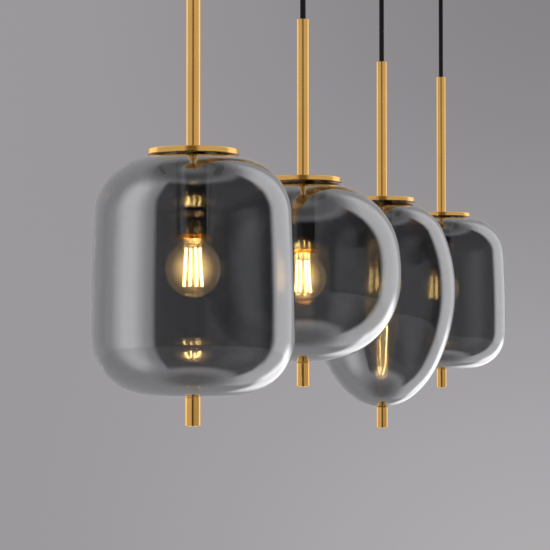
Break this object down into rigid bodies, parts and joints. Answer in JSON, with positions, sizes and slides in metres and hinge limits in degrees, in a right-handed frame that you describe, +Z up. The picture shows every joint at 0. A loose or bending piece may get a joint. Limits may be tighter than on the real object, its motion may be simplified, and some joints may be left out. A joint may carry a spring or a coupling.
{
  "type": "cluster pendant",
  "caption": "Linear cluster pendant: smoked glass shades of three blown forms, each under a brass disc and tube with a filament lamp inside, hung in a row on cords from one long canopy.",
  "frame": {"origin": "middle of the bracket's ceiling face; the whole part hangs below it", "axes": "+Z up, normal to the ceiling; +X along the row of pendants"},
  "size_m": [1.0612, 0.1852, 0.5773],
  "materials": {
    "polished_brass": "polished, clear lacquered brass",
    "fixing_brass": "plain turned brass",
    "zinc_plated_steel": "zinc plated",
    "spring_steel": "bright spring steel",
    "black_chrome": "polished black plating",
    "nickel_cap": "nickel plated screw cap",
    "black_plastic": "moulded, matt",
    "white_plastic": "moulded, matt",
    "black_fabric": "woven cover",
    "smoked_glass": "smoked, half mirrored, blown",
    "clear_glass": "clear",
    "filament": null
  },
  "bodies": {
    "canopy": {"ceiling_bracket": "zinc_plated_steel", "canopy_cover": "polished_brass", "canopy_fixings": "fixing_brass", "cord_grips": "polished_brass", "terminal_block": "white_plastic", "earth_screw": "fixing_brass", "canopy_leads": "black_fabric"},
    "hanging_cord_1": {"cord_1": "black_fabric"},
    "pendant_1": {"tube_1": "polished_brass", "tube_plug_1": "black_plastic", "cap_disc_1": "polished_brass", "spring_clips_1": "spring_steel", "holder_sleeve_1": "black_chrome", "holder_ring_1": "polished_brass", "lamp_holder_1": "black_plastic"},
    "glass_shade_1": {"shade_1": "smoked_glass", "finial_1": "polished_brass"},
    "bulb_1": {"bulb_cap_1": "nickel_cap", "bulb_glass_1": "clear_glass", "bulb_filament_1": "filament"},
    "hanging_cord_2": {"cord_2": "black_fabric"},
    "pendant_2": {"tube_2": "polished_brass", "tube_plug_2": "black_plastic", "cap_disc_2": "polished_brass", "spring_clips_2": "spring_steel", "holder_sleeve_2": "black_chrome", "holder_ring_2": "polished_brass", "lamp_holder_2": "black_plastic"},
    "glass_shade_2": {"shade_2": "smoked_glass", "finial_2": "polished_brass"},
    "bulb_2": {"bulb_cap_2": "nickel_cap", "bulb_glass_2": "clear_glass", "bulb_filament_2": "filament"},
    "hanging_cord_3": {"cord_3": "black_fabric"},
    "pendant_3": {"tube_3": "polished_brass", "tube_plug_3": "black_plastic", "cap_disc_3": "polished_brass", "spring_clips_3": "spring_steel", "holder_sleeve_3": "black_chrome", "holder_ring_3": "polished_brass", "lamp_holder_3": "black_plastic"},
    "glass_shade_3": {"shade_3": "smoked_glass", "finial_3": "polished_brass"},
    "bulb_3": {"bulb_cap_3": "nickel_cap", "bulb_glass_3": "clear_glass", "bulb_filament_3": "filament"},
    "hanging_cord_4": {"cord_4": "black_fabric"},
    "pendant_4": {"tube_4": "polished_brass", "tube_plug_4": "black_plastic", "cap_disc_4": "polished_brass", "spring_clips_4": "spring_steel", "holder_sleeve_4": "black_chrome", "holder_ring_4": "polished_brass", "lamp_holder_4": "black_plastic"},
    "glass_shade_4": {"shade_4": "smoked_glass", "finial_4": "polished_brass"},
    "bulb_4": {"bulb_cap_4": "nickel_cap", "bulb_glass_4": "clear_glass", "bulb_filament_4": "filament"}
  },
  "joints": [
    {"name": "swing_1", "type": "hinge", "parent": "canopy", "child": "hanging_cord_1", "pos_m": [-0.45, 0, -0.037], "axis": [1, 0, 0], "range_deg": [-20, 20]},
    {"name": "twist_1", "type": "hinge", "parent": "hanging_cord_1", "child": "pendant_1", "pos_m": [-0.45, 0, -0.17], "axis": [0, 0, 1], "range_deg": [-180, 180]},
    {"name": "shade_release_1", "type": "slide", "parent": "pendant_1", "child": "glass_shade_1", "axis": [0, 0, -1], "range_m": [0, 0.125], "deforming": ["spring_clips_1"]},
    {"name": "bulb_turn_1", "type": "hinge", "parent": "pendant_1", "child": "bulb_1", "pos_m": [-0.45, 0, -0.38], "axis": [0, 0, -1], "range_deg": [0, 1440]},
    {"name": "swing_2", "type": "hinge", "parent": "canopy", "child": "hanging_cord_2", "pos_m": [-0.15, 0, -0.037], "axis": [1, 0, 0], "range_deg": [-20, 20]},
    {"name": "twist_2", "type": "hinge", "parent": "hanging_cord_2", "child": "pendant_2", "pos_m": [-0.15, 0, -0.17], "axis": [0, 0, 1], "range_deg": [-180, 180]},
    {"name": "shade_release_2", "type": "slide", "parent": "pendant_2", "child": "glass_shade_2", "axis": [0, 0, -1], "range_m": [0, 0.125], "deforming": ["spring_clips_2"]},
    {"name": "bulb_turn_2", "type": "hinge", "parent": "pendant_2", "child": "bulb_2", "pos_m": [-0.15, 0, -0.38], "axis": [0, 0, -1], "range_deg": [0, 1440]},
    {"name": "swing_3", "type": "hinge", "parent": "canopy", "child": "hanging_cord_3", "pos_m": [0.15, 0, -0.037], "axis": [1, 0, 0], "range_deg": [-20, 20]},
    {"name": "twist_3", "type": "hinge", "parent": "hanging_cord_3", "child": "pendant_3", "pos_m": [0.15, 0, -0.17], "axis": [0, 0, 1], "range_deg": [-180, 180]},
    {"name": "shade_release_3", "type": "slide", "parent": "pendant_3", "child": "glass_shade_3", "axis": [0, 0, -1], "range_m": [0, 0.125], "deforming": ["spring_clips_3"]},
    {"name": "bulb_turn_3", "type": "hinge", "parent": "pendant_3", "child": "bulb_3", "pos_m": [0.15, 0, -0.38], "axis": [0, 0, -1], "range_deg": [0, 1440]},
    {"name": "swing_4", "type": "hinge", "parent": "canopy", "child": "hanging_cord_4", "pos_m": [0.45, 0, -0.037], "axis": [1, 0, 0], "range_deg": [-20, 20]},
    {"name": "twist_4", "type": "hinge", "parent": "hanging_cord_4", "child": "pendant_4", "pos_m": [0.45, 0, -0.17], "axis": [0, 0, 1], "range_deg": [-180, 180]},
    {"name": "shade_release_4", "type": "slide", "parent": "pendant_4", "child": "glass_shade_4", "axis": [0, 0, -1], "range_m": [0, 0.125], "deforming": ["spring_clips_4"]},
    {"name": "bulb_turn_4", "type": "hinge", "parent": "pendant_4", "child": "bulb_4", "pos_m": [0.45, 0, -0.38], "axis": [0, 0, -1], "range_deg": [0, 1440]}
  ]
}
